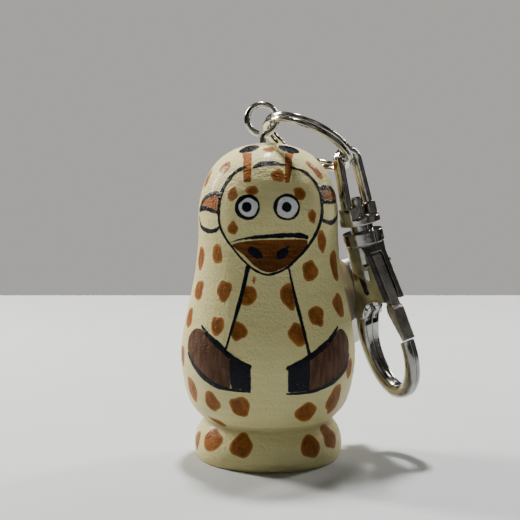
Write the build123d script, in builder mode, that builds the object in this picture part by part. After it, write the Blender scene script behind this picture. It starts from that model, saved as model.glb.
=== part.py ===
"""Turned wooden nesting-doll charm with a screw eye, a split ring and a swivel trigger hook.

The origin is the centre of the doll's foot, on the surface it stands on. +Z is up and the face looks to -Y.
The hook hangs beside the doll, on its +X side. All sizes are in millimetres.
"""

import os
from math import acos, atan2, cos, degrees, hypot, pi, radians, sin, tan

from build123d import *

os.makedirs("parts", exist_ok=True)

# Doll: radius and height of the points its turned outline passes through, from the crown to the groove
HEIGHT = 60.0
HEAD = [(9.0, 57.05), (11.95, 52.6), (13.1, 48.0), (13.25, 42.0)]
BELLY = [(14.3, 33.2), (15.95, 25.9), (16.63, 19.9), (15.95, 14.3), (14.3, 9.9)]
NECK_SLOPE = (0.05, -1)
GROOVE = (12.2, 7.6)
GROOVE_SLOPE = (-0.62, -0.78)
FOOT_TOP = (13.35, 5.9)
FOOT_LOW = (13.98, 1.2)
FOOT_R = 14.15
FOOT_MID_Z = 3.0
BASE_R = 13.4

# Screw eye: bent wire with a threaded shank
WIRE_R = 0.56
SHANK_X = -1.0
LOOP_R = 2.78
LOOP_CENTRE = Vector(-1.17, 0, 64.4)
BEND_R = 1.2
LOOP_END = 258.0
THREAD_TOP_Z = 58.6
THREAD_PITCH = 0.6
THREAD_TURNS = 13
THREAD_CREST_R = 0.62
THREAD_ROOT_R = 0.42
THREAD_FLANKS = (0.3, 0.65)
POINT_LENGTH = 0.9
PILOT_R = 0.4
PILOT_DEPTH = 10.5

# Split ring: two flat coils joined by one crank
RING_LEFT = Vector(-0.1, 0, 64.1)
RING_RIGHT = Vector(15.05, 0.6, 56.2)
RING_TILT = 21.0
COIL_THICKNESS = 1.0
COIL_HEIGHT = 0.9
COIL_GAP = 0.05
COIL_EDGE_R = 0.28
CRANK_START = 236.0
CRANK_ARC = 34.0

# Trigger hook: its own frame has X to the front (the gate), Z up along the swivel axis and origin in the collar
DOWN = Vector(0.216, 0.05, -0.975).normalized()
BOW_PIVOT_UP = 14.7
FRONT_HINT = Vector(0.53, -0.85, 0)
BOW_FACING = Vector(0.67, -0.74, 0)

BOW_HOLE_R = 1.65
BOW_BAR = 1.5
BOW_DEPTH = 2.3
BOW_EDGE_R = 0.68
BOW_FOOT_HALF = 3.0
BOW_PLATE_R = 3.85
BOW_PLATE_LOW = 2.95
BOW_PLATE_TOP = 4.2
CHEEK_TOP = 6.4
CHEEK_DEPTH = 3.2
CHEEK_GAP = 2.9
BOSS_R = 1.15
BOSS_TOP = 6.2

RIVET_R = 0.6
RIVET_HEAD_R = 1.2
RIVET_HEAD_TOP = 7.95
RIVET_HEAD_EDGE_R = 0.3
RIVET_END = -1.5
SWIVEL_GAP = 0.05

COLLAR_R = 3.85
COLLAR_TOP = 1.45
COLLAR_LOW = -0.85
NECK_R = 2.2
GROOVE_R = 3.45
DRUM_R = 3.65
DRUM_TOP = -1.05
DRUM_LOW = -8.0
DRUM_CUT_UP = -6.2
DRUM_CUT_ANGLE = 33.0

BODY_WIDTH = 4.8
BODY_BACK = -2.8
SLOT_WIDTH = 2.7
WINDOW_AT = (0.25, -8.4)
WINDOW_LENGTH = 4.6
WINDOW_WIDTH = 1.7
WINDOW_TILT = 15.0
FACE_ANGLE = 17.0
FACE_FRONT = 3.55
FACE_FRONT_UP = -4.65

GATE_WIDTH = 2.0
GATE_END_WIDTH = 2.5
GATE_BULGE_UP = -14.4
GATE_BULGE = 0.45
GATE_TIP_THICKNESS = 0.75
GATE_THICKNESS = 1.75
GATE_TOP = -3.15
GATE_SHOULDER = -12.9
GATE_TIP = -19.5
PIVOT = (2.45, -5.0)
HUB_R = 1.15
PIN_R = 0.5
PIN_HALF = 3.15
PIN_CLEARANCE = 0.03
TRIGGER_WEB_WIDTH = 1.8
TRIGGER_WIDTH = 4.2

# Hook bar: front distance, height, thickness in the hook's plane and width, from the body round to the nose
HOOK_STATIONS = [
    (-2.3, -13.2, 3.8, 4.8),
    (-4.1, -15.6, 3.0, 4.7),
    (-4.95, -18.6, 2.7, 4.3),
    (-5.15, -21.6, 2.6, 3.8),
    (-4.35, -25.2, 2.6, 3.5),
    (-2.5, -28.4, 2.6, 3.3),
    (0.4, -30.4, 2.65, 3.2),
    (3.3, -30.1, 2.65, 3.0),
    (5.8, -28.0, 2.6, 2.9),
    (7.05, -25.0, 2.5, 2.8),
    (7.3, -22.6, 2.4, 2.7),
    (7.15, -20.8, 2.3, 2.65),
    (7.2, -19.0, 2.2, 2.6),
]
HOOK_EDGE_SHARE = 0.42

# Two shallow recesses in the spine's inner face, with a thin rib between them
RECESS = [(-1.5, -13.9), (-3.25, -16.0), (-3.9, -17.2), (0.0, -17.2), (0.0, -13.9)]
RECESS_SIDE = 1.35
RIB_HALF = 0.22

# The nose ends square to the gate's swing, just outside the circle that the gate's tip runs on
NOSE_CUT = [(5.2, -20.58), (9.0, -19.35), (9.0, -18.0), (5.2, -18.0)]

SPRING_FRONT = -1.55
SPRING_R = 0.55
SPRING_WIRE_R = 0.11
SPRING_TOP = -1.25
SPRING_LOW = -6.2
SPRING_TURNS = 7
POCKET_R = 0.78
POCKET_DEPTH = 3.5

ORIGIN = RING_RIGHT + DOWN * BOW_PIVOT_UP
UP = -DOWN
FRONT = (FRONT_HINT - DOWN * FRONT_HINT.dot(DOWN)).normalized()
SIDE = FRONT.cross(UP)
CLASP = Plane(origin=ORIGIN, x_dir=FRONT, z_dir=UP)
CLASP_SIDE = Plane(origin=ORIGIN, x_dir=FRONT, z_dir=SIDE)
BOW_NORMAL = (BOW_FACING - DOWN * BOW_FACING.dot(DOWN)).normalized()
BOW_ACROSS = UP.cross(BOW_NORMAL)
BOW = Plane(origin=ORIGIN, x_dir=BOW_ACROSS, z_dir=BOW_NORMAL)
SWIVEL = Plane(origin=ORIGIN, x_dir=BOW_ACROSS, z_dir=UP)


def ring_frame():
    """Centre, radius and the directions of the split ring: along its long diameter, across it and its axis."""
    span = RING_RIGHT - RING_LEFT
    along = span.normalized()
    level = Vector(0, 0, 1).cross(along).normalized()
    if level.Y > 0:
        level = -level
    rise = along.cross(level)
    if rise.Z < 0:
        rise = -rise
    across = level * cos(radians(RING_TILT)) + rise * sin(radians(RING_TILT))
    return RING_LEFT + span * 0.5, span.length / 2, along, across, along.cross(across)


RING_CENTRE, RING_R, RING_ALONG, RING_ACROSS, RING_AXIS = ring_frame()


def finish(part, name):
    part.label = name
    export_step(part, f"parts/{name}.step")


def doll_body():
    """Turned body with its foot as one piece of wood, and the pilot hole for the screw eye."""
    with BuildPart() as doll:
        with BuildSketch(Plane.XZ):
            with BuildLine():
                head = Spline((0, HEIGHT), *HEAD, tangents=[(1, 0), NECK_SLOPE])
                Spline(head @ 1, *BELLY, GROOVE, tangents=[NECK_SLOPE, GROOVE_SLOPE])
                foot = ThreePointArc(GROOVE, FOOT_TOP, (FOOT_R, FOOT_MID_Z))
                heel = ThreePointArc(foot @ 1, FOOT_LOW, (BASE_R, 0))
                Line(heel @ 1, (0, 0))
                Line((0, 0), head @ 0)
            make_face()
        revolve(axis=Axis.Z)
        with Locations((SHANK_X, 0, HEIGHT - PILOT_DEPTH / 2)):
            Cylinder(PILOT_R, PILOT_DEPTH, mode=Mode.SUBTRACT)
    finish(doll.part, "doll_body")


def screw_eye():
    """Wire eye: the shank bends to the right and runs round the loop until its end nearly meets the neck."""
    bend_x = SHANK_X + BEND_R
    across = bend_x - LOOP_CENTRE.X
    drop = ((LOOP_R + BEND_R) ** 2 - across**2) ** 0.5
    bend_z = LOOP_CENTRE.Z - drop
    loop_start = degrees(acos(across / hypot(across, drop)))
    with BuildPart() as eye:
        with BuildLine(Plane.XZ):
            Line((SHANK_X, THREAD_TOP_Z), (SHANK_X, bend_z))
            CenterArc((bend_x, bend_z), BEND_R, 180, -loop_start)
            CenterArc((LOOP_CENTRE.X, LOOP_CENTRE.Z), LOOP_R, -loop_start, LOOP_END + loop_start)
        with BuildSketch(Plane.XY.offset(THREAD_TOP_Z)):
            with Locations((SHANK_X, 0)):
                Circle(WIRE_R)
        sweep()
        with BuildSketch(Plane.XZ):
            with BuildLine():
                profile = [(SHANK_X, THREAD_TOP_Z), (SHANK_X + WIRE_R, THREAD_TOP_Z)]
                for turn in range(THREAD_TURNS):
                    z = THREAD_TOP_Z - turn * THREAD_PITCH
                    profile.append((SHANK_X + THREAD_ROOT_R, z - THREAD_FLANKS[0] * THREAD_PITCH))
                    profile.append((SHANK_X + THREAD_CREST_R, z - THREAD_FLANKS[1] * THREAD_PITCH))
                low = THREAD_TOP_Z - THREAD_TURNS * THREAD_PITCH
                profile.append((SHANK_X + THREAD_ROOT_R, low))
                profile.append((SHANK_X, low - POINT_LENGTH))
                Polyline(*profile, close=True)
            make_face()
        revolve(axis=Axis((SHANK_X, 0, 0), (0, 0, 1)))
    finish(eye.part, "screw_eye")


def ring_plane(angle, level):
    """Plane across the split ring's wire, at an angle round the ring and a level along its axis."""
    out = RING_ALONG * cos(radians(angle)) + RING_ACROSS * sin(radians(angle))
    return Plane(origin=RING_CENTRE + out * RING_R + RING_AXIS * level, x_dir=out, z_dir=RING_AXIS.cross(out))


def split_ring():
    """Two flat coils, one over the other, and the crank that leads from the lower one to the upper one."""
    step = COIL_HEIGHT + COIL_GAP
    crank_end = CRANK_START + CRANK_ARC
    with BuildPart() as ring:
        for level in (-step / 2, step / 2):
            with BuildSketch(ring_plane(crank_end, level)):
                RectangleRounded(COIL_THICKNESS, COIL_HEIGHT, COIL_EDGE_R)
            revolve(axis=Axis(RING_CENTRE, RING_AXIS), revolution_arc=360 - CRANK_ARC)
        for share in (0, 0.2, 0.5, 0.8, 1):
            rise = (1 - cos(pi * share)) / 2
            with BuildSketch(ring_plane(CRANK_START + share * CRANK_ARC, (rise - 0.5) * step)):
                RectangleRounded(COIL_THICKNESS, COIL_HEIGHT, COIL_EDGE_R)
        loft()
    finish(ring.part, "split_ring")


def arch_points(radius, foot_half, foot_up):
    """Where the straight sides of an arch meet its foot and its round top, and the top itself."""
    reach = hypot(foot_half, BOW_PIVOT_UP - foot_up)
    touch = atan2(foot_up - BOW_PIVOT_UP, foot_half) + acos(radius / reach)
    across, up = radius * cos(touch), BOW_PIVOT_UP + radius * sin(touch)
    return (foot_half, foot_up), (across, up), (0, BOW_PIVOT_UP + radius), (-across, up), (-foot_half, foot_up)


def swivel_bow():
    """Cast bow: a thick rounded arch on a round plate, with cheeks beside the boss that carries the rivet's head."""
    middle_r, foot_up = BOW_HOLE_R + BOW_BAR / 2, BOW_PLATE_LOW + BOW_EDGE_R
    right_foot, right, top, left, left_foot = arch_points(middle_r, BOW_FOOT_HALF, foot_up)
    with BuildPart() as bow:
        with BuildLine(BOW):
            side = Line(right_foot, right)
            ThreePointArc(right, top, left)
            Line(left, left_foot)
        with BuildSketch(Plane(origin=side @ 0, x_dir=BOW_ACROSS, z_dir=side % 0)):
            RectangleRounded(BOW_BAR, BOW_DEPTH, BOW_EDGE_R)
        sweep()
        with BuildSketch(SWIVEL.offset(BOW_PLATE_LOW)):
            Circle(BOW_PLATE_R)
            Rectangle(2 * BOW_PLATE_R, CHEEK_DEPTH, mode=Mode.INTERSECT)
        extrude(amount=CHEEK_TOP - BOW_PLATE_LOW)
        with BuildSketch(SWIVEL.offset(BOW_PLATE_TOP)):
            Rectangle(CHEEK_GAP, 2 * BOW_PLATE_R)
        extrude(amount=CHEEK_TOP - BOW_PLATE_TOP, mode=Mode.SUBTRACT)
        with BuildSketch(SWIVEL.offset(BOW_PLATE_LOW)):
            Circle(BOW_PLATE_R)
        extrude(amount=BOW_PLATE_TOP - BOW_PLATE_LOW)
        with BuildSketch(SWIVEL.offset(BOW_PLATE_TOP)):
            Circle(BOSS_R)
        extrude(amount=BOSS_TOP - BOW_PLATE_TOP)
        with BuildSketch(SWIVEL.offset(BOW_PLATE_LOW)):
            Circle(RIVET_R + SWIVEL_GAP)
        extrude(amount=BOSS_TOP - BOW_PLATE_LOW, mode=Mode.SUBTRACT)
    finish(bow.part, "swivel_bow")


def swivel_rivet():
    """Rivet that joins the bow and the hook body: fast in the body, free in the bow."""
    with BuildPart() as rivet:
        with BuildSketch(CLASP.offset(RIVET_END)):
            Circle(RIVET_R)
        extrude(amount=BOSS_TOP + SWIVEL_GAP - RIVET_END)
        with BuildSketch(CLASP.offset(BOSS_TOP + SWIVEL_GAP)):
            Circle(RIVET_HEAD_R)
        extrude(amount=RIVET_HEAD_TOP - BOSS_TOP - SWIVEL_GAP)
        rim = rivet.edges().filter_by(GeomType.CIRCLE).sort_by(Axis(ORIGIN, UP))[-1]
        fillet(rim, RIVET_HEAD_EDGE_R)
    finish(rivet.part, "swivel_rivet")


def face_front(up):
    """How far forward the sloping front face of the body and of the gate stands at a height."""
    return FACE_FRONT + (FACE_FRONT_UP - up) * tan(radians(FACE_ANGLE))


def hook_body():
    """Cast body: collar, drum, two side walls with the gate's slot between them, and the hook."""
    with BuildPart() as body:
        with BuildSketch(CLASP.offset(DRUM_LOW)):
            Circle(DRUM_R)
        extrude(amount=DRUM_TOP - DRUM_LOW)
        under_drum = Plane(
            origin=ORIGIN + UP * DRUM_CUT_UP,
            x_dir=SIDE,
            z_dir=UP * cos(radians(DRUM_CUT_ANGLE)) + FRONT * sin(radians(DRUM_CUT_ANGLE)),
        )
        split(bisect_by=under_drum, keep=Keep.TOP)
        with BuildSketch(CLASP_SIDE):
            with BuildLine():
                Polyline(
                    (-5.3, -15.6),
                    (-3.9, -11.6),
                    (BODY_BACK, -8.0),
                    (BODY_BACK, DRUM_TOP),
                    (face_front(DRUM_TOP), DRUM_TOP),
                    (face_front(-12.0), -12.0),
                    (2.2, -12.0),
                )
                arch = ThreePointArc((2.2, -12.0), (-0.9, -13.1), (-2.6, -15.6))
                Line(arch @ 1, (-5.3, -15.6))
            make_face()
        extrude(amount=BODY_WIDTH / 2, both=True)
        front_face = Plane(
            origin=ORIGIN + FRONT * FACE_FRONT + UP * FACE_FRONT_UP,
            x_dir=SIDE,
            z_dir=FRONT * cos(radians(FACE_ANGLE)) + UP * sin(radians(FACE_ANGLE)),
        )
        split(bisect_by=front_face, keep=Keep.BOTTOM)
        with BuildSketch(CLASP.offset(DRUM_TOP)):
            Circle(GROOVE_R)
        extrude(amount=COLLAR_LOW - DRUM_TOP)
        with BuildSketch(CLASP.offset(COLLAR_LOW)):
            Circle(COLLAR_R)
        extrude(amount=COLLAR_TOP - COLLAR_LOW)
        with BuildSketch(CLASP.offset(COLLAR_TOP)):
            Circle(NECK_R)
        extrude(amount=BOW_PLATE_LOW - SWIVEL_GAP - COLLAR_TOP)
        for front, up, thickness, width in HOOK_STATIONS:
            with BuildSketch(hook_plane(front, up)):
                RectangleRounded(thickness, width, HOOK_EDGE_SHARE * thickness)
        loft()
        with BuildSketch(CLASP_SIDE):
            with BuildLine():
                Polyline(
                    (9.0, -2.75),
                    (PIVOT[0] - 0.62, -2.75),
                    (PIVOT[0] - 0.62, -3.7),
                    (PIVOT[0] - HUB_R - 0.15, -4.1),
                    (PIVOT[0] - HUB_R - 0.15, -5.3),
                    (-4.6, -2.9),
                    (-9.0, -2.9),
                    (-9.0, -11.2),
                    (-3.2, -11.2),
                    (0.0, -11.4),
                    (1.6, -12.4),
                    (9.0, -12.4),
                    close=True,
                )
            make_face()
        extrude(amount=SLOT_WIDTH / 2, both=True, mode=Mode.SUBTRACT)
        for side in (RIB_HALF, -RIB_HALF - RECESS_SIDE):
            with BuildSketch(CLASP_SIDE.offset(side)):
                with BuildLine():
                    Polyline(*RECESS, close=True)
                make_face()
            extrude(amount=RECESS_SIDE, mode=Mode.SUBTRACT)
        with BuildSketch(CLASP_SIDE):
            with BuildLine():
                Polyline(*NOSE_CUT, close=True)
            make_face()
        extrude(amount=BODY_WIDTH / 2, both=True, mode=Mode.SUBTRACT)
        with BuildSketch(CLASP_SIDE):
            with Locations(Location(WINDOW_AT, WINDOW_TILT)):
                SlotOverall(WINDOW_LENGTH, WINDOW_WIDTH, rotation=90)
        extrude(amount=BODY_WIDTH, both=True, mode=Mode.SUBTRACT)
        with BuildSketch(CLASP_SIDE):
            with Locations(PIVOT):
                Circle(PIN_R)
        extrude(amount=BODY_WIDTH, both=True, mode=Mode.SUBTRACT)
        with BuildSketch(CLASP.offset(SPRING_TOP)):
            with Locations((SPRING_FRONT, 0)):
                Circle(POCKET_R)
        extrude(amount=-POCKET_DEPTH, mode=Mode.SUBTRACT)
        with BuildSketch(CLASP.offset(RIVET_END)):
            Circle(RIVET_R)
        extrude(amount=BOW_PLATE_LOW - RIVET_END, mode=Mode.SUBTRACT)
    finish(body.part, "hook_body")


def hook_plane(front, up):
    """Plane across the hook's bar at one of its stations, square to the line between its neighbours."""
    at = [(station[0], station[1]) for station in HOOK_STATIONS].index((front, up))
    before = HOOK_STATIONS[max(at - 1, 0)]
    after = HOOK_STATIONS[min(at + 1, len(HOOK_STATIONS) - 1)]
    along = (FRONT * (after[0] - before[0]) + UP * (after[1] - before[1])).normalized()
    return Plane(origin=ORIGIN + FRONT * front + UP * up, x_dir=along.cross(SIDE), z_dir=along)


def gate_lever():
    """Gate bar and rear trigger in one casting: it swings on the pin, between the side walls."""
    def back(up):
        return face_front(up) - GATE_THICKNESS

    with BuildPart() as lever:
        with BuildSketch(CLASP_SIDE):
            with BuildLine():
                Polyline(
                    (PIVOT[0] - 0.6, GATE_TOP),
                    (face_front(GATE_TOP) - 0.05, GATE_TOP),
                    (face_front(GATE_SHOULDER), GATE_SHOULDER),
                    (back(GATE_SHOULDER), GATE_SHOULDER),
                    (back(-6.0), -6.0),
                    (PIVOT[0] - 0.6, -3.9),
                    close=True,
                )
            make_face()
            with Locations(PIVOT):
                Circle(HUB_R)
        extrude(amount=GATE_WIDTH / 2, both=True)
        with BuildSketch(CLASP_SIDE):
            with BuildLine():
                Polyline(
                    (face_front(GATE_SHOULDER), GATE_SHOULDER),
                    (face_front(-13.6) + 0.3, -13.6),
                    (face_front(GATE_TIP), GATE_TIP),
                    (face_front(GATE_TIP) - GATE_TIP_THICKNESS, GATE_TIP - 0.25),
                    (back(GATE_BULGE_UP) - GATE_BULGE, GATE_BULGE_UP),
                    (back(GATE_SHOULDER), GATE_SHOULDER),
                    close=True,
                )
            make_face()
        extrude(amount=GATE_END_WIDTH / 2, both=True)
        with BuildSketch(CLASP_SIDE):
            with BuildLine():
                Polyline((-6.0, -10.4), (4.0, -9.0), (2.6, -6.3), (-4.7, -6.2), (-6.0, -6.0), close=True)
            make_face()
        extrude(amount=TRIGGER_WEB_WIDTH / 2, both=True)
        with BuildSketch(CLASP_SIDE):
            with BuildLine():
                brow = ThreePointArc((-4.7, -5.0), (-6.6, -3.9), (-8.9, -5.3))
                spine = ThreePointArc(brow @ 1, (-12.1, -12.4), (-13.3, -21.4))
                tip = ThreePointArc(spine @ 1, (-12.9, -22.3), (-12.0, -21.9))
                inner = ThreePointArc(tip @ 1, (-9.7, -18.7), (-6.5, -16.2))
                Polyline(inner @ 1, (-4.6, -11.6), (-3.8, -8.5), (-4.2, -6.2), (-4.7, -5.0))
            make_face()
        extrude(amount=TRIGGER_WIDTH / 2, both=True)
        with BuildSketch(CLASP_SIDE):
            with Locations(PIVOT):
                Circle(PIN_R + PIN_CLEARANCE)
        extrude(amount=GATE_WIDTH, both=True, mode=Mode.SUBTRACT)
    finish(lever.part, "gate_lever")


def gate_pin():
    """Pin through both side walls: a press fit in the walls and a running fit in the lever."""
    with BuildPart() as pin:
        with BuildSketch(CLASP_SIDE):
            with Locations(PIVOT):
                Circle(PIN_R)
        extrude(amount=PIN_HALF, both=True)
    finish(pin.part, "gate_pin")


def gate_spring():
    """Compression spring in the drum's pocket: it presses the lever's web down, so the gate stays shut."""
    length = SPRING_TOP - SPRING_LOW - 2 * SPRING_WIRE_R
    low = ORIGIN + FRONT * SPRING_FRONT + UP * (SPRING_LOW + SPRING_WIRE_R)
    with BuildPart() as spring:
        with BuildLine():
            coil = Helix(length / SPRING_TURNS, length, SPRING_R, center=low, direction=UP)
        with BuildSketch(Plane(origin=coil @ 0, z_dir=coil % 0)):
            Circle(SPRING_WIRE_R)
        sweep(is_frenet=True)
    finish(spring.part, "gate_spring")


doll_body()
screw_eye()
split_ring()
swivel_bow()
swivel_rivet()
hook_body()
gate_lever()
gate_pin()
gate_spring()
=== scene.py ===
"""Looks for the painted doll charm and its trigger hook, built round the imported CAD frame."""
import math

import bpy
import numpy as np
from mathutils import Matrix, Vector


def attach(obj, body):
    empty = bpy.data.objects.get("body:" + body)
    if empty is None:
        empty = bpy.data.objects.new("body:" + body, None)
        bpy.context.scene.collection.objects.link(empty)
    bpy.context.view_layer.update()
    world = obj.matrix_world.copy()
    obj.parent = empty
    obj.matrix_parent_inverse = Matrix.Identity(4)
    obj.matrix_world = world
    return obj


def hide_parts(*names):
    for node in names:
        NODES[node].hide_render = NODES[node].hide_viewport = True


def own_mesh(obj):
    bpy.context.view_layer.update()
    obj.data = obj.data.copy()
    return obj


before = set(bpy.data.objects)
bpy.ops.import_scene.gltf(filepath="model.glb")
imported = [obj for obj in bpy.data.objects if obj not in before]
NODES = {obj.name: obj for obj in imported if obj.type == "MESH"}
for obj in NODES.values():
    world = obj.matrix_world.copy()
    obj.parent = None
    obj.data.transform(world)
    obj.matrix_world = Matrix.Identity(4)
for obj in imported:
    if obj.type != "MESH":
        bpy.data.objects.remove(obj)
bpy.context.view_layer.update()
MM = 0.001

# The clasp's own frame, as the CAD source builds it: DOWN runs along its swivel, FRONT points to its gate's
# side, and SIDE is square to both. Its origin lies in its collar, below the place on the split ring that it
# hangs from.
RING_RIGHT = Vector((15.05, 0.6, 56.2))
BOW_PIVOT_UP = 14.7
DOWN = Vector((0.216, 0.05, -0.975)).normalized()
CLASP_AT = (RING_RIGHT + DOWN * BOW_PIVOT_UP) * MM


def square_to_swivel(direction):
    """The direction's part that is square to the swivel's axis, with length 1."""
    return (direction - DOWN * direction.dot(DOWN)).normalized()


FRONT = square_to_swivel(Vector((0.53, -0.85, 0)))
SIDE = FRONT.cross(-DOWN)
BOW_FACE = square_to_swivel(Vector((0.67, -0.74, 0)))


# ---------------------------------------------------------------- shader helpers
class Graph:
    """A material's nodes, made one call at a time."""

    def __init__(self, name):
        self.material = bpy.data.materials.new(name)
        self.material.use_nodes = True
        self.tree = self.material.node_tree
        self.shader = self.tree.nodes["Principled BSDF"]
        self.place = self.add("ShaderNodeTexCoord").outputs["Object"]

    def add(self, kind, **settings):
        """A new node with some of its settings made."""
        node = self.tree.nodes.new(kind)
        for key, value in settings.items():
            setattr(node, key, value)
        return node

    def feed(self, socket, value):
        """Links another node's output to a socket, or sets a plain value on it."""
        if isinstance(value, bpy.types.NodeSocket):
            self.tree.links.new(value, socket)
        else:
            socket.default_value = value

    def math(self, operation, a, b=0.0):
        """One sum, product or other operation of a Math node."""
        node = self.add("ShaderNodeMath", operation=operation)
        self.feed(node.inputs[0], a)
        self.feed(node.inputs[1], b)
        return node.outputs[0]

    def times(self, a, b):
        """The product of two values."""
        return self.math("MULTIPLY", a, b)

    def noise(self, scale, detail, stretch=None, rough=0.5, seed=0.0):
        """Noise with features about 1/scale metres across, from 0 to 1."""
        place = self.place
        if stretch or seed:
            mapping = self.add("ShaderNodeMapping")
            self.feed(mapping.inputs["Vector"], place)
            mapping.inputs["Scale"].default_value = stretch or (1, 1, 1)
            mapping.inputs["Location"].default_value = (seed, seed * 0.7, seed * 1.3)
            place = mapping.outputs[0]
        node = self.add("ShaderNodeTexNoise")
        self.feed(node.inputs["Vector"], place)
        node.inputs["Scale"].default_value = scale
        node.inputs["Detail"].default_value = detail
        node.inputs["Roughness"].default_value = rough
        return node.outputs[0]

    def ramp(self, value, low, high, to_low=0.0, to_high=1.0):
        """A smooth step from one level, where the value is low, to another, where it is high."""
        node = self.add("ShaderNodeMapRange", interpolation_type="SMOOTHSTEP")
        self.feed(node.inputs[0], value)
        for at, number in zip((1, 2, 3, 4), (low, high, to_low, to_high)):
            self.feed(node.inputs[at], number)
        return node.outputs[0]

    def mix(self, factor, a, b):
        """A colour between a, where the factor is 0, and b, where it is 1."""
        node = self.add("ShaderNodeMix", data_type="RGBA")
        self.feed(node.inputs[0], factor)
        for at, colour in ((6, a), (7, b)):
            self.feed(node.inputs[at], (*colour, 1.0) if isinstance(colour, tuple) else colour)
        return node.outputs[2]

    def depth(self, direction):
        """Distance in metres from the clasp's origin along a direction."""
        gap = self.add("ShaderNodeVectorMath", operation="SUBTRACT")
        self.feed(gap.inputs[0], self.place)
        gap.inputs[1].default_value = CLASP_AT
        along = self.add("ShaderNodeVectorMath", operation="DOT_PRODUCT")
        self.feed(along.inputs[0], gap.outputs[0])
        along.inputs[1].default_value = direction
        return along.outputs["Value"]

    def height(self):
        """Height over the floor in metres."""
        split = self.add("ShaderNodeSeparateXYZ")
        self.feed(split.inputs[0], self.place)
        return split.outputs[2]

    def layer(self, name):
        """A layer of paint that is kept on the mesh: distance in mm to its edge, negative under the paint."""
        return self.add("ShaderNodeAttribute", attribute_name=name).outputs["Fac"]

    def bump(self, height, distance, strength, over=None):
        """A normal bent by a height, over another bump where one is given."""
        node = self.add("ShaderNodeBump")
        self.feed(node.inputs["Height"], height)
        node.inputs["Distance"].default_value = distance
        node.inputs["Strength"].default_value = strength
        if over is not None:
            self.feed(node.inputs["Normal"], over)
        return node.outputs[0]

    def set(self, **sockets):
        """Feeds the shader's sockets and gives the finished material."""
        for name, value in sockets.items():
            self.feed(self.shader.inputs[name.replace("_", " ")], value)
        return self.material


# ---------------------------------------------------------------- doll outline
CURVE_STEP = 0.05


def smooth_curve(points, start, end):
    """Points along the cubic curve through the given ones that leaves and arrives in the given directions."""
    p = np.array(points, float)
    h = np.hypot(*np.diff(p, axis=0).T)
    slope = np.diff(p, axis=0) / h[:, None]
    n = len(p)
    a, b = np.zeros((n, n)), np.zeros((n, 2))
    a[0, :2], b[0] = (2 * h[0], h[0]), 6 * (slope[0] - np.array(start) / math.hypot(*start))
    a[-1, -2:], b[-1] = (h[-1], 2 * h[-1]), 6 * (np.array(end) / math.hypot(*end) - slope[-1])
    for i in range(1, n - 1):
        a[i, i - 1 : i + 2] = h[i - 1], 2 * (h[i - 1] + h[i]), h[i]
        b[i] = 6 * (slope[i] - slope[i - 1])
    m = np.linalg.solve(a, b)
    out = []
    for i in range(n - 1):
        t = np.linspace(0, h[i], max(int(h[i] / CURVE_STEP), 2), endpoint=i == n - 2)[:, None]
        u = h[i] - t
        out.append((m[i] * u**3 + m[i + 1] * t**3) / (6 * h[i]) + (p[i] / h[i] - m[i] * h[i] / 6) * u
                   + (p[i + 1] / h[i] - m[i + 1] * h[i] / 6) * t)
    return np.vstack(out)


# (radius, height) in mm, from the crown to the foot's edge, with the directions in which the curves meet
CROWN = (0, 60)
NECK, NECK_SLOPE = (13.25, 42.0), (0.05, -1)
GROOVE, GROOVE_SLOPE = (12.2, 7.6), (-0.62, -0.78)
HEAD = smooth_curve([CROWN, (9.0, 57.05), (11.95, 52.6), (13.1, 48.0), NECK], (1, 0), NECK_SLOPE)
BELLY = smooth_curve([NECK, (14.3, 33.2), (15.95, 25.9), (16.63, 19.9), (15.95, 14.3), (14.3, 9.9), GROOVE],
                     NECK_SLOPE, GROOVE_SLOPE)
FOOT = smooth_curve([GROOVE, (13.35, 5.9), (14.15, 3.0), (13.98, 1.2), (13.4, 0.0)],
                    (0.45, -0.89), (-0.75, -0.66))
OUTLINE = np.vstack([HEAD[:-1], BELLY[:-1], FOOT])
ALONG = np.concatenate([[0], np.cumsum(np.hypot(*np.diff(OUTLINE, axis=0).T))])

# The painted mesh: rows down the outline and columns round it, closer together where the fine paint is
CROWN_GAP = 0.35
FINE_ROW, BODY_ROW, FOOT_ROW = 0.24, 0.27, 0.36
FACE_LOW, FACE_HIGH, FOOT_HIGH = 35, 58, 14
FRONT_HALF, FRONT_STEP, BACK_COLUMNS = 96, 0.72, 92


def on_doll(angle, z):
    """Point in mm on the doll, at an angle in degrees from the front towards its hook side, and a height."""
    a, r = np.radians(angle), np.interp(z, OUTLINE[::-1, 1], OUTLINE[::-1, 0])
    return np.stack([r * np.sin(a), -r * np.cos(a), np.asarray(z, float) + 0 * r], -1)


def doll_grid():
    """Radius and height of each row of the mesh, and the angle of each column."""
    rows, s = [CROWN_GAP], CROWN_GAP
    while s < ALONG[-1]:
        z = np.interp(s, ALONG, OUTLINE[:, 1])
        s += FINE_ROW if FACE_LOW < z < FACE_HIGH else BODY_ROW if z > FOOT_HIGH else FOOT_ROW
        rows.append(min(s, ALONG[-1]))
    front = np.arange(-FRONT_HALF, FRONT_HALF, FRONT_STEP)
    back = np.linspace(FRONT_HALF, 360 - FRONT_HALF, BACK_COLUMNS, endpoint=False)
    radii, heights = (np.interp(rows, ALONG, OUTLINE[:, k]) for k in (0, 1))
    return radii, heights, np.concatenate([front, back])


ROW_R, ROW_Z, COLUMN = doll_grid()
ANGLE, Z = np.meshgrid(COLUMN, ROW_Z)
SPREAD = np.radians(ANGLE)
SURFACE = np.stack([ROW_R[:, None] * np.sin(SPREAD), -ROW_R[:, None] * np.cos(SPREAD), Z], -1)
FLAT = SURFACE.reshape(-1, 3)


# ---------------------------------------------------------------- brushes
# A layer of paint is a field: each surface point's distance in mm to the layer's edge, negative under the
# paint and never more than FAR. The reaches say how far from a line or an edge the distance is worked out.
FAR = 1.5
EDGE_REACH, STROKE_REACH = 1.6, 2.2
PATH_STEP = 0.09
CHUNK = 40
SIDE_SAMPLES = 60
BRUSH_SPREAD = 0.17


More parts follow.
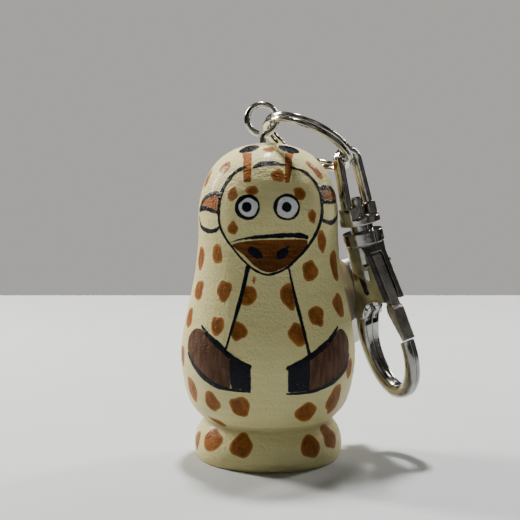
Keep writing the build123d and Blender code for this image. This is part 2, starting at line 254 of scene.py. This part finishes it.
def bare_layer():
    """A layer with no paint on it yet."""
    return np.full(len(FLAT), FAR)


def near(points, reach):
    """The surface points close enough to some points to matter."""
    low, high = points.min(0) - reach, points.max(0) + reach
    return np.where(((FLAT > low) & (FLAT < high)).all(1))[0]


def gap_to(points, which, half_widths):
    """Distance from surface points to the nearest of a path's points, less the path's half width there."""
    best = np.full(len(which), np.inf)
    for first in range(0, len(points), CHUNK):
        part = slice(first, first + CHUNK)
        gap = np.linalg.norm(FLAT[which][:, None] - points[None, part], axis=2) - half_widths[part]
        best = np.minimum(best, gap.min(1))
    return best


def path_points(points, closed=False):
    """A smooth path through (angle, height) points: its own points, and where each lies along it."""
    p = np.array(points, float)
    n = len(p)
    out, at = [], []
    for i in range(n if closed else n - 1):
        if closed:
            a, b, c, d = (p[(i + k) % n] for k in (-1, 0, 1, 2))
        else:
            b, c = p[i], p[i + 1]
            a = p[i - 1] if i else 2 * b - c
            d = p[i + 2] if i + 2 < n else 2 * c - b
        count = max(int(np.linalg.norm(on_doll(*b) - on_doll(*c)) / PATH_STEP), 2)
        t = np.linspace(0, 1, count, endpoint=False)[:, None]
        out.append(0.5 * (2 * b + (c - a) * t + (2 * a - 5 * b + 4 * c - d) * t**2
                          + (3 * b - a - 3 * c + d) * t**3))
        at.append(i + t[:, 0])
    if not closed:
        out.append(p[-1:])
        at.append([n - 1.0])
    return np.vstack(out), np.concatenate(at)


def straight_points(points):
    """A closed path with straight sides through (angle, height) points."""
    ring = np.array(points + points[:1], float)
    share = np.linspace(0, 1, SIDE_SAMPLES)[:-1, None]
    return np.vstack([a + (b - a) * share for a, b in zip(ring[:-1], ring[1:])])


def stroke(into, points, widths):
    """A brush line through (angle, height) points, of about the given widths in mm, with an uneven edge."""
    flat, at = path_points(points)
    centre = on_doll(flat[:, 0], flat[:, 1])
    waver = 1 + 0.07 * np.sin(at * 5.1 + len(points)) + 0.05 * np.sin(at * 11.7 + points[0][0])
    wide = (np.interp(at, range(len(points)), widths) + BRUSH_SPREAD) * waver
    which = near(centre, STROKE_REACH)
    into[which] = np.minimum(into[which], gap_to(centre, which, wide / 2))


def patch(into, points, straight=False):
    """A filled area inside a closed path of (angle, height) points."""
    flat = straight_points(points) if straight else path_points(points, closed=True)[0]
    edge = on_doll(flat[:, 0], flat[:, 1])
    which = near(edge, EDGE_REACH)
    a, z = ANGLE.ravel()[which], Z.ravel()[which]
    gap = gap_to(edge, which, np.zeros(len(edge)))
    inside = np.zeros(len(which), bool)
    for (a0, z0), (a1, z1) in zip(flat, np.roll(flat, -1, 0)):
        if z0 != z1:
            inside ^= ((z0 > z) != (z1 > z)) & (a < a0 + (z - z0) * (a1 - a0) / (z1 - z0))
    into[which] = np.minimum(into[which], np.where(inside, -gap, gap))


def dab(into, angle, z, half_wide, half_high, tilt=0.0, seed=0, rough=0.1, hole=None):
    """A round dab of paint: half sizes in mm, a tilt in degrees that lifts its hook side, an uneven edge."""
    centre, ahead = on_doll(angle, z), on_doll(angle, z - 0.05) - on_doll(angle, z + 0.05)
    across = np.array([math.cos(math.radians(angle)), math.sin(math.radians(angle)), 0])
    up = -ahead / np.linalg.norm(ahead)
    which = near(centre[None], max(half_wide, half_high) + EDGE_REACH)
    q = FLAT[which] - centre
    x, y = q @ across, q @ up
    c, s = math.cos(math.radians(tilt)), math.sin(math.radians(tilt))
    x, y = x * c + y * s, y * c - x * s
    turn = np.arctan2(y / half_high, x / half_wide)
    dice = np.random.default_rng(seed + 17)
    edge = 1.0
    for waves, share in ((2, 0.5), (3, 1.0), (4, 0.6), (5, 0.5)):
        edge = edge + rough * share * dice.uniform(0.4, 1.0) * np.cos(waves * turn + dice.uniform(0, 6.28))
    reach = np.hypot(x / half_wide, y / half_high) / edge
    value = (reach - 1) * min(half_wide, half_high)
    if hole is not None:
        value = np.maximum(value, -hole[which])
    into[which] = np.minimum(into[which], value)


# ---------------------------------------------------------------- doll paint
# Places are (angle in degrees, height in mm), and widths are in mm
LINE, SPOT, BROWN, WHITE, HORN = (bare_layer() for _ in range(5))
EYE_HEIGHT = 48.8


def paint_face():
    """The face's outline, open over the brow, and the brow's own short line."""
    outline = [(25, 55.7), (37.5, 54.9), (45, 53.3), (49, 51.4), (48.8, 48.9), (47, 46.5), (41, 43.9),
               (32.5, 41.6), (23, 39.6), (12.5, 37.7), (0, 36.7), (-10.5, 37.5), (-20, 39.2), (-29, 41.3),
               (-36, 43), (-42, 45.3), (-43.8, 48.4), (-43.3, 51.1), (-40.8, 52.9), (-34, 54.9),
               (-25.5, 55.8)]
    widths = (0.35, 0.65, 0.7, 0.75, 0.75, 0.75, 0.6, 0.5, 0.38, 0.34, 0.28, 0.25, 0.25, 0.26, 0.34, 0.45,
              0.65, 0.8, 0.8, 0.8, 0.6)
    stroke(LINE, outline, widths)
    stroke(LINE, [(-14.5, 55.9), (-7, 56.45), (4, 56.55), (18, 56.2)], (0.7, 1.1, 1.0, 0.35))


def paint_horns():
    """Two orange bars up the brow, each with a black knob, and the spot between them."""
    patch(HORN, [(-41, 58.3), (-31, 57.2), (-26.8, 55.8), (-23.3, 53.6), (-22.3, 53.2), (-16.8, 53.2),
                 (-15.8, 53.6), (-17.6, 55.8), (-20, 57.2), (-24.5, 58.3)], straight=True)
    patch(HORN, [(25, 58.3), (19.2, 57.2), (17, 55.8), (14.2, 53.5), (14.9, 53.1), (18.6, 53.1), (19.4, 53.6),
                 (25, 55.8), (28.9, 57.2), (39, 58.3)], straight=True)
    dab(LINE, -39.5, 59.05, 1.95, 1.9, 8, 1, 0.04)
    dab(LINE, 41, 59.0, 2.0, 2.1, -8, 2, 0.04)
    dab(SPOT, 1, 58.9, 1.15, 1.2, 0, 3)


def paint_eye(angle, outer, white, pupil, shift, seed):
    """A black ring round an uneven white, set a little to one side in it, and the pupil."""
    dab(WHITE, angle + shift, EYE_HEIGHT - 0.05, white * 1.06, white, 10, seed, 0.05)
    dab(LINE, angle, EYE_HEIGHT, outer, outer * 0.97, 0, seed + 2, 0.02, hole=WHITE)
    dab(LINE, angle - 0.3, EYE_HEIGHT, pupil, pupil, 0, seed + 4, 0.03)


def paint_ears():
    """Each ear's upper flap, filled brown, and the bare loop under it."""
    stroke(LINE, [(-44.5, 50.7), (-53, 51.0), (-69, 49.5), (-77, 47.5)], (0.5, 0.8, 0.8, 0.6))
    stroke(LINE, [(-77, 47.5), (-64, 48.1), (-51, 47.8), (-44.5, 47.5)], (0.7, 0.8, 0.6, 0.3))
    patch(HORN, [(-45, 50.4), (-53, 50.7), (-67, 49.4), (-74, 48.0), (-64, 48.3), (-51, 48.1), (-45, 47.9)])
    stroke(LINE, [(-77, 46.3), (-71, 44.6), (-56, 44.0), (-47, 44.3), (-42.5, 45.0)],
           (0.3, 0.7, 0.75, 0.6, 0.3))
    stroke(LINE, [(50.5, 51.8), (61, 52.0), (75, 51.2), (84, 49.8)], (0.6, 0.9, 0.9, 0.7))
    stroke(LINE, [(48.5, 49.4), (62, 49.3), (77, 49.2)], (0.4, 0.7, 0.6))
    patch(SPOT, [(51, 51.5), (64, 51.7), (77, 50.8), (78, 49.5), (62, 49.5), (50, 49.6)])
    stroke(LINE, [(83, 48.4), (79, 46.6), (62, 45.5), (49.5, 46.0)], (0.5, 0.8, 0.8, 0.5))


def paint_muzzle():
    """The mouth's line, the brown muzzle under it, and the nostrils."""
    stroke(LINE, [(-30.5, 42.4), (-19, 43.1), (-5, 43.5), (13, 43.72), (25.5, 43.6), (31.5, 43.2)],
           (0.05, 0.25, 0.6, 0.7, 0.85, 0.6))
    patch(BROWN, [(-29.5, 41.9), (-19, 42.6), (-5, 42.95), (13, 43.0), (26, 42.9), (32, 42.6), (30.5, 41.4),
                  (23, 39.75), (12.5, 38.0), (0, 37.1), (-10, 38.1), (-18.5, 39.9), (-26.5, 41.2)])
    dab(LINE, -10.6, 40.6, 1.55, 0.85, -35, 11, 0.05)
    dab(LINE, 10.4, 40.4, 1.3, 0.85, 35, 12, 0.06)
    stroke(LINE, [(11.5, 40.9), (15.4, 41.6)], (0.8, 0.2))


def paint_arms():
    """The two lines from the chin to the arms, and the brown arms with their outlines and black hooves."""
    stroke(LINE, [(-16, 37.9), (-21.7, 30.7), (-28, 23.3)], (0.75, 0.6, 0.3))
    stroke(LINE, [(15.7, 37.6), (21.3, 30), (26.3, 22.4)], (0.25, 0.5, 0.45))
    patch(BROWN, [(-60, 25.7), (-51, 26.2), (-43, 24.9), (-33, 23.4), (-25.2, 21.7), (-25.2, 16.3),
                  (-33, 16.3), (-43, 17.3), (-54, 19.1), (-63.5, 21.4), (-65.5, 23.8)])
    stroke(LINE, [(-51, 26.8), (-43, 25.3), (-33, 23.7), (-25, 22.1), (-11.6, 20.4)],
           (0.25, 0.85, 1.0, 0.8, 0.5))
    stroke(LINE, [(-64, 21.2), (-54, 18.9), (-43, 17.1), (-33, 16.1), (-22, 15.8), (-12, 15.7)],
           (0.4, 0.9, 1.0, 0.7, 0.4, 0.25))
    patch(LINE, [(-25, 21.6), (-18, 21.2), (-11.3, 20.6), (-11.0, 18.2), (-11.2, 16.0), (-24.2, 16.1),
                 (-25.1, 18.6)], straight=True)
    patch(BROWN, [(53, 25.9), (60, 25.7), (65.2, 23.9), (64.5, 21.6), (59, 18.8), (48, 17.2), (35, 16.0),
                  (26, 15.8), (26, 21.4), (35, 22.8), (44, 24.1)])
    stroke(LINE, [(53.5, 26.5), (44, 24.5), (35, 23.1), (27.7, 22), (12, 20.1)], (0.35, 0.9, 1.05, 0.9, 0.6))
    stroke(LINE, [(11.8, 15.3), (24, 15.3), (35, 15.7), (48, 16.8), (59, 18.5), (64.5, 20.9)],
           (0.25, 0.45, 0.6, 0.85, 0.85, 0.3))
    patch(LINE, [(12.2, 20.5), (19, 21.2), (26.4, 21.9), (26.9, 18.6), (26.8, 15.6), (12.4, 15.6),
                 (12.0, 18.2)], straight=True)


# angle, height, half width, half height, tilt
FRONT_SPOTS = [
    (8.8, 54.4, 1.35, 1.25, -10), (-31.6, 51, 1.05, 1.35, 0), (-14.2, 51.8, 1.2, 0.9, -10),
    (26.7, 51.1, 1.2, 1.3, 0), (37, 47, 0.95, 1.25, 10), (-29.3, 44.9, 1.1, 1.2, 0),
    (-51, 55.6, 1.35, 1.4, 20), (-77, 53.4, 1.3, 1.8, 10), (54, 55.2, 1.05, 2.3, 32),
    (-68.5, 38.7, 1.7, 2.2, 5), (-44.5, 40, 1.3, 1.9, 5), (-64, 32.9, 1.9, 1.9, 15),
    (-34.6, 33.5, 1.65, 1.9, 0), (-15, 32.9, 1.6, 1.9, -10), (14.6, 32.8, 1.5, 2.4, 10),
    (33.6, 37.1, 1.7, 2.0, 5), (47.6, 42.3, 1.25, 2.05, 5), (64, 37.5, 1.7, 2.9, 5),
    (35, 29, 1.75, 1.95, 10), (61, 30.2, 1.9, 2.4, 15), (-71, 27.5, 1.8, 1.9, 0),
    (-36.4, 27.2, 1.5, 1.8, 10), (-20.3, 26.6, 1.6, 1.8, 5), (19.3, 26, 1.6, 2.3, 20),
    (-75.7, 20.2, 1.6, 2.0, 0), (-62.6, 14.4, 1.8, 2.5, 15), (-41.6, 13.0, 1.75, 2.1, 20),
    (-19.5, 12.7, 1.95, 2.1, 30), (27, 11.3, 2.2, 2.1, -10), (50.8, 13.0, 1.9, 3.0, -15),
    (66, 18.2, 1.4, 2.0, 0), (-73.4, 3.9, 1.5, 1.8, 0), (-50, 5.1, 2.6, 2.2, 0),
    (-46, 8.6, 2.0, 1.0, -25), (-21.4, 5.0, 2.15, 2.3, 0), (34.1, 4.5, 2.1, 2.2, 0),
    (57.4, 5.4, 2.2, 2.4, 30),
]
BACK_ROWS = (54.3, 47.6, 40.6, 33.6, 26.8, 19.8, 12.6, 4.4)
BACK_COLUMN_COUNT, BACK_START, BACK_GAP, BACK_SHIFT = 7, 91, 27, 13


def paint_spots():
    """The front's spots one by one, a drip on the chest, and uneven staggered rows round the back."""
    for i, (angle, z, wide, high, tilt) in enumerate(FRONT_SPOTS):
        dab(SPOT, angle, z, wide, high, tilt, 40 + i, 0.09)
    dab(SPOT, -11, 35.7, 0.3, 0.55, 0, 13, 0.2)
    dice = np.random.default_rng(8)
    for row, z in enumerate(BACK_ROWS):
        for column in range(BACK_COLUMN_COUNT):
            angle = BACK_START + column * BACK_GAP + (BACK_SHIFT if row % 2 else 0)
            dab(SPOT, angle + dice.uniform(-6, 6), z + dice.uniform(-1.5, 1.5), dice.uniform(1.3, 2.0),
                dice.uniform(1.6, 2.5), dice.uniform(-40, 40), 100 + row * 9 + column, 0.1)


paint_face()
paint_horns()
paint_eye(-17.3, outer=2.4, white=1.68, pupil=0.95, shift=0.9, seed=5)
paint_eye(14.8, outer=2.5, white=1.9, pupil=0.93, shift=0.3, seed=6)
paint_ears()
paint_muzzle()
paint_arms()
paint_spots()


# ---------------------------------------------------------------- doll mesh
# Thickness of the paint and the width over which its edge falls off, in mm
LINE_THICK, LINE_EDGE = 0.06, 0.18
FILL_THICK, FILL_EDGE = 0.03, 0.3
FOOT_FADE = 0.6
UNDERSIDE_SHARES = (0.97, 0.8, 0.5, 0.2)


def raised(layer, height, soft):
    """A layer's thickness, which falls to nothing over its soft edge."""
    return height * np.clip(0.5 - layer.reshape(Z.shape) / (2 * soft), 0, 1)


def relief():
    """How far the surface stands out, in mm.

    The wood isn't quite round, brush ridges run round it, and thick paint stands up."""
    lift = 0.012 * np.sin(Z / 0.42 + 1.4 * np.sin(SPREAD * 2) + 0.8 * np.sin(Z * 0.7))
    lift += 0.008 * np.sin(Z / 0.19 + 2.0 * np.sin(SPREAD * 3 + 1) + np.sin(Z * 1.9))
    lift += 0.03 * np.sin(SPREAD * 2 + Z * 0.11) * np.sin(Z * 0.23 + 1)
    lift = lift + raised(LINE, LINE_THICK, LINE_EDGE)
    for layer in (SPOT, BROWN, HORN):
        lift = lift + raised(layer, FILL_THICK, FILL_EDGE)
    return lift


def shaped_rows():
    """The mesh's rows, moved out by the relief, which fades out at the foot's flat edge."""
    slope_r, slope_z = np.gradient(ROW_R), np.gradient(ROW_Z)
    length = np.hypot(slope_r, slope_z)
    out_r, out_z = -slope_z / length, slope_r / length
    outward = np.stack([out_r[:, None] * np.sin(SPREAD), -out_r[:, None] * np.cos(SPREAD),
                        out_z[:, None] + 0 * Z], -1)
    return SURFACE + (relief() * np.clip(Z / FOOT_FADE, 0, 1))[..., None] * outward


def ring_faces(upper, lower, columns):
    """A band of faces between two rows, given by the number of each row's first point."""
    return [(upper + c, lower + c, lower + (c + 1) % columns, upper + (c + 1) % columns)
            for c in range(columns)]


def mesh_object(name, points, faces, smooth=True):
    """A new object in the scene."""
    mesh = bpy.data.meshes.new(name)
    mesh.from_pydata([tuple(p) for p in points], [], faces)
    mesh.polygons.foreach_set("use_smooth", [smooth] * len(mesh.polygons))
    mesh.update()
    made = bpy.data.objects.new(name, mesh)
    bpy.context.scene.collection.objects.link(made)
    return made


def build_doll():
    """The doll's closed mesh, with its layers of paint kept as attributes of its points."""
    shape = shaped_rows()
    rows, columns = Z.shape
    points = [*shape.reshape(-1, 3), np.array([0.0, 0.0, CROWN[1]])]
    faces = [face for row in range(rows - 1)
             for face in ring_faces(row * columns, (row + 1) * columns, columns)]
    faces += [(len(points) - 1, c, (c + 1) % columns) for c in range(columns)]
    last = (rows - 1) * columns
    for share in UNDERSIDE_SHARES:
        first = len(points)
        points += [np.array([p[0] * share, p[1] * share, 0.0]) for p in shape[-1]]
        faces += ring_faces(last, first, columns)
        last = first
    points.append(np.zeros(3))
    faces += [(last + c, len(points) - 1, last + (c + 1) % columns) for c in range(columns)]
    made = mesh_object("painted_doll", np.array(points) * MM, faces)
    bare = np.full(len(points) - len(FLAT), FAR)
    for name, values in (("line", LINE), ("spot", SPOT), ("brown", BROWN), ("white", WHITE), ("horn", HORN)):
        layer = made.data.attributes.new(name, "FLOAT", "POINT")
        layer.data.foreach_set("value", np.concatenate([values, bare]).astype(np.float32))
    return made


# ---------------------------------------------------------------- doll material
# Pairs are the two ends of a cloudy or brushed colour
CREAM = (0.61, 0.555, 0.265), (0.69, 0.635, 0.33)
CREAM_STREAK = (0.54, 0.475, 0.20)
TAN = (0.15, 0.051, 0.010), (0.27, 0.098, 0.018)
TAN_RIM = (0.37, 0.16, 0.035)
ORANGE = (0.20, 0.062, 0.009), (0.30, 0.105, 0.018)
ARM = (0.060, 0.027, 0.014), (0.125, 0.062, 0.034)
MUZZLE = (0.085, 0.027, 0.006), (0.19, 0.068, 0.012)
MUZZLE_LOW = (0.05, 0.016, 0.004)
BLACK = (0.003, 0.004, 0.008), (0.007, 0.009, 0.016)
EYE_WHITE = (0.72, 0.73, 0.76)
BARE_WOOD = (0.50, 0.33, 0.17), (0.66, 0.47, 0.27)
GROOVE_SHADE = (0.18, 0.12, 0.06)

# Heights in metres
ARMS_END, MUZZLE_START = 30 * MM, 31 * MM
MUZZLE_DARK, MUZZLE_LIGHT = 38.5 * MM, 42.5 * MM
UNDERSIDE, SIDE_START = 0.02 * MM, 0.2 * MM
GROOVE_SHADE_BAND = (6.6 * MM, 7.6 * MM), (7.8 * MM, 8.6 * MM)

# How far the paint's edge wavers, and half of its softness, in mm
EDGE_WAVER, EDGE_SOFT = 0.22, 0.07


def doll_paint():
    """Brushed satin paint: cream, then tan spots, orange, browns, white and black, each over the last."""
    g = Graph("painted_wood")
    z = g.height()
    waver = g.times(g.math("SUBTRACT", g.noise(2600, 3), 0.5), EDGE_WAVER)

    def mask(name):
        return g.ramp(g.math("ADD", g.layer(name), waver), -EDGE_SOFT, EDGE_SOFT, 1.0, 0.0)

    cloud, streak = g.noise(140, 4), g.noise(420, 4, stretch=(0.35, 0.35, 3.0))
    cream = g.mix(g.ramp(streak, 0.35, 0.75, 0.0, 0.35), g.mix(cloud, *CREAM), CREAM_STREAK)
    mottle = g.ramp(g.noise(900, 5, stretch=(1, 1, 0.5)), 0.3, 0.7)
    rim = g.ramp(g.math("ADD", g.layer("spot"), waver), -0.55, -0.05)
    tan = g.mix(g.times(rim, 0.8), g.mix(mottle, *TAN), TAN_RIM)
    upright = g.ramp(g.noise(700, 5, stretch=(1.6, 1.6, 0.4), seed=0.3), 0.3, 0.75)
    combed = g.ramp(g.noise(700, 5, stretch=(0.35, 0.35, 2.2), seed=0.7), 0.3, 0.75)
    muzzle = g.mix(combed, *MUZZLE)
    muzzle = g.mix(g.ramp(z, MUZZLE_DARK, MUZZLE_LIGHT), g.mix(0.5, muzzle, MUZZLE_LOW), muzzle)
    brown = g.mix(g.ramp(z, ARMS_END, MUZZLE_START), g.mix(upright, *ARM), muzzle)
    colour = g.mix(mask("spot"), cream, tan)
    colour = g.mix(mask("horn"), colour, g.mix(mottle, *ORANGE))
    colour = g.mix(mask("brown"), colour, brown)
    colour = g.mix(mask("white"), colour, EYE_WHITE)
    thin = g.ramp(g.noise(1500, 4, seed=0.9), 0.30, 0.36)
    line = g.times(mask("line"), g.ramp(thin, 0.0, 1.0, 0.93, 1.0))
    colour = g.mix(line, colour, g.mix(cloud, *BLACK))
    wood = g.mix(g.noise(260, 6, stretch=(1, 5, 1)), *BARE_WOOD)
    colour = g.mix(g.times(g.ramp(z, UNDERSIDE, SIDE_START, 1.0, 0.0), 0.85), colour, wood)
    # Painted shade: the turned groove round the foot is darkened in its colour, as if shadowed
    groove_shade = g.times(g.ramp(z, *GROOVE_SHADE_BAND[0]), g.ramp(z, *GROOVE_SHADE_BAND[1], 1.0, 0.0))
    colour = g.mix(g.times(groove_shade, 0.35), colour, GROOVE_SHADE)
    rough = g.ramp(g.noise(800, 3, seed=0.5), 0.3, 0.7, 0.36, 0.48)
    rough = g.math("SUBTRACT", rough, g.times(mask("line"), 0.1))
    matt_arm = g.times(mask("brown"), g.ramp(z, ARMS_END, MUZZLE_START, 1.0, 0.0))
    rough = g.math("ADD", rough, g.times(matt_arm, 0.12))
    brushed = g.noise(2400, 3, stretch=(0.5, 0.5, 1.6), seed=0.2)
    pebbled = g.noise(2000, 2, seed=1.1)
    normal = g.bump(g.math("ADD", g.times(brushed, 0.3), pebbled), 0.22 * MM, 1.0)
    return g.set(Base_Color=colour, Roughness=rough, Normal=normal, Coat_Weight=0.07, Coat_Roughness=0.13,
                 Coat_IOR=1.5, Specular_IOR_Level=0.07)


doll = build_doll()
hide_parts("doll_body")
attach(doll, "doll")
doll.data.materials.append(doll_paint())


# ---------------------------------------------------------------- metal
# The casting's seam, and the step behind which its skin is smooth, in metres
SEAM_CORE, SEAM_EDGE = 0.05 * MM, 0.17 * MM
PLAIN_STEP = 0.5 * MM


def darker(colour, share):
    """A share of a colour's brightness."""
    return tuple(c * share for c in colour)


def metal(name, dark, light, rough, grain, pits=0.0, scratches=0.3, seam=None, plain=None):
    """Plated metal: cloudy plating, fine scratches that catch the light, and a skin with pits for castings.

    The roughness is a pair, low and high. A seam runs where the surface crosses the casting's middle plane,
    which the seam's direction is square to. Behind the plain depth the skin is smooth."""
    g = Graph(name)
    cloud = g.noise(260, 4)
    skin = g.noise(grain, 4, seed=0.4)
    if plain is not None:
        skin = g.mix(g.ramp(g.depth(FRONT), plain - PLAIN_STEP, plain + PLAIN_STEP), (0.5, 0.5, 0.5), skin)
    scratch = g.ramp(g.noise(2400, 3, stretch=(0.12, 1.0, 0.35), rough=0.7, seed=0.8), 0.60, 0.68)
    colour = g.mix(g.ramp(cloud, 0.3, 0.7), dark, light)
    colour = g.mix(g.times(g.ramp(skin, 0.25, 0.45, 1.0, 0.0), 0.4), colour, darker(dark, 0.55))
    gloss = g.math("ADD", g.ramp(skin, 0.3, 0.7, *rough), g.times(scratch, 0.12 * scratches))
    height = g.math("SUBTRACT", g.times(skin, 0.4 + pits), g.times(scratch, 0.25 * scratches))
    normal = g.bump(height, (0.02 + 0.05 * pits) * MM, 0.7)
    if seam is not None:
        line = g.ramp(g.math("ABSOLUTE", g.depth(seam)), SEAM_CORE, SEAM_EDGE, 1.0, 0.0)
        colour = g.mix(g.times(line, 0.6), colour, darker(dark, 0.4))
        normal = g.bump(line, 0.08 * MM, 1.0, normal)
    return g.set(Base_Color=colour, Roughness=gloss, Normal=normal, Metallic=1.0)


WIRE = metal("nickel_wire", (0.42, 0.40, 0.36), (0.66, 0.64, 0.59), (0.12, 0.24), grain=900)
SPRUNG = metal("ring_steel", (0.36, 0.34, 0.30), (0.60, 0.58, 0.53), (0.11, 0.22), grain=1100)
CAST = metal("nickel_casting", (0.24, 0.235, 0.225), (0.42, 0.415, 0.40), (0.13, 0.27), grain=900, pits=0.4,
             seam=SIDE)
BOW = metal("bow_casting", (0.30, 0.285, 0.26), (0.50, 0.48, 0.44), (0.12, 0.24), grain=900, pits=0.4,
            seam=BOW_FACE)
DULL = metal("dull_casting", (0.24, 0.22, 0.20), (0.48, 0.455, 0.43), (0.24, 0.44), grain=4200, pits=1.5,
             scratches=0.6, plain=-3.0 * MM)
STEEL = metal("rivet_steel", (0.30, 0.28, 0.26), (0.50, 0.48, 0.44), (0.16, 0.30), grain=1600)
SPRING = metal("spring_steel", (0.40, 0.39, 0.38), (0.58, 0.57, 0.56), (0.22, 0.34), grain=3000)

CAST_VOXEL = 0.1 * MM


def dress(node, material, soften=0):
    """Gives a CAD node its finish, and rounds a casting's edges in the given number of passes."""
    made = NODES[node]
    made.data.materials.clear()
    made.data.materials.append(material)
    if soften:
        remesh = made.modifiers.new("cast_skin", "REMESH")
        remesh.mode, remesh.voxel_size, remesh.use_smooth_shade = "VOXEL", CAST_VOXEL, True
        smooth = made.modifiers.new("cast_edges", "SMOOTH")
        smooth.factor, smooth.iterations = 0.5, soften


dress("screw_eye", WIRE)
dress("split_ring", SPRUNG)
dress("swivel_bow", BOW, soften=3)
dress("swivel_rivet", STEEL)
dress("hook_body", CAST, soften=2)
dress("gate_lever", DULL, soften=2)
dress("gate_pin", STEEL)
dress("gate_spring", SPRING)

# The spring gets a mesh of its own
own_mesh(NODES["gate_spring"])


# ---------------------------------------------------------------- stage, light and camera
# Places in metres
FLOOR_HALF, FLOOR_CORNER = 0.22, 0.03
FLOOR_TONES = (0.40, 0.425, 0.44), (0.45, 0.475, 0.49)
AIM = (0, 0, 0.03)

# The room that the metal mirrors: noise level and colour, from its dark parts to its bright ones
ROOM_TONES = [(0.44, (0.012, 0.010, 0.009)), (0.50, (0.075, 0.055, 0.038)), (0.56, (0.24, 0.22, 0.20)),
              (0.63, (0.85, 0.84, 0.80))]
ROOM_STRETCH = (1.0, 1.0, 0.45)
BACKDROP = (1.72, 1.65, 1.56, 1)
ROOM_STRENGTH = 0.26

# The camera looks a little down at the doll; its slope is half the view's width at unit distance
CAMERA_AT = (-0.00155, -0.25038, 0.06633)
CAMERA_TILT = 83.5
VIEW_SLOPE = 10 / 51


def stage():
    """A pale floor with rounded corners."""
    g = Graph("pale_floor")
    g.set(Base_Color=g.mix(g.noise(60, 4), *FLOOR_TONES), Roughness=0.7)
    inner = FLOOR_HALF - FLOOR_CORNER
    corners = []
    for quarter, (side_x, side_y) in enumerate(((1, 1), (-1, 1), (-1, -1), (1, -1))):
        for turn in range(0, 91, 15):
            t = math.radians(90 * quarter + turn)
            corners.append((side_x * inner + FLOOR_CORNER * math.cos(t),
                            side_y * inner + FLOOR_CORNER * math.sin(t), 0))
    floor = mesh_object("floor", corners, [tuple(range(len(corners)))], smooth=False)
    floor.data.materials.append(g.material)


def lamp(name, place, size, power, colour, target=AIM):
    """A rectangular lamp turned to its target."""
    light = bpy.data.lights.new(name, "AREA")
    light.shape, light.size, light.size_y = "RECTANGLE", size[0], size[1]
    light.energy, light.color = power, colour
    made = bpy.data.objects.new(name, light)
    made.location = place
    made.rotation_euler = (Vector(target) - Vector(place)).to_track_quat("-Z", "Y").to_euler()
    bpy.context.scene.collection.objects.link(made)


def studio():
    """Light from an uneven room all round, which the camera itself sees as a plain grey backdrop."""
    world = bpy.data.worlds.new("studio")
    bpy.context.scene.world = world
    world.use_nodes = True
    tree = world.node_tree
    back = tree.nodes["Background"]
    path = tree.nodes.new("ShaderNodeLightPath")
    coord = tree.nodes.new("ShaderNodeTexCoord")
    noise = tree.nodes.new("ShaderNodeTexNoise")
    noise.inputs["Scale"].default_value = 3.0
    noise.inputs["Detail"].default_value = 2.0
    stretch = tree.nodes.new("ShaderNodeMapping")
    stretch.inputs["Scale"].default_value = ROOM_STRETCH
    ramp = tree.nodes.new("ShaderNodeValToRGB")
    stops = ramp.color_ramp.elements
    for stop, (level, colour) in zip((stops[0], stops[1]), (ROOM_TONES[0], ROOM_TONES[-1])):
        stop.position, stop.color = level, (*colour, 1)
    for level, colour in ROOM_TONES[1:-1]:
        stops.new(level).color = (*colour, 1)
    mix = tree.nodes.new("ShaderNodeMix")
    mix.data_type = "RGBA"
    mix.inputs[7].default_value = BACKDROP
    tree.links.new(coord.outputs["Generated"], stretch.inputs["Vector"])
    tree.links.new(stretch.outputs[0], noise.inputs["Vector"])
    tree.links.new(noise.outputs[0], ramp.inputs[0])
    tree.links.new(ramp.outputs[0], mix.inputs[6])
    tree.links.new(path.outputs["Is Camera Ray"], mix.inputs[0])
    tree.links.new(mix.outputs[2], back.inputs[0])
    back.inputs[1].default_value = ROOM_STRENGTH


def camera():
    """The scene's camera."""
    lens = bpy.data.cameras.new("camera")
    lens.angle = 2 * math.atan(VIEW_SLOPE)
    lens.clip_start = 0.005
    made = bpy.data.objects.new("camera", lens)
    made.location = CAMERA_AT
    made.rotation_euler = (math.radians(CAMERA_TILT), 0, 0)
    bpy.context.scene.collection.objects.link(made)
    bpy.context.scene.camera = made


stage()
studio()
lamp("overhead", (-0.01, 0.15, 0.47), size=(0.05, 0.05), power=4.3, colour=(1.0, 0.98, 0.94))
lamp("left_rim", (-0.29, 0.17, 0.23), size=(0.05, 0.16), power=2.9, colour=(1.0, 0.93, 0.82))
lamp("right_rim", (0.28, 0.26, 0.22), size=(0.04, 0.16), power=1.3, colour=(1.0, 0.95, 0.88),
     target=(0.01, 0, 0.03))
lamp("front_fill", (0.05, -0.60, 0.45), size=(0.5, 0.4), power=0.13, colour=(1.0, 0.99, 0.97))
camera()
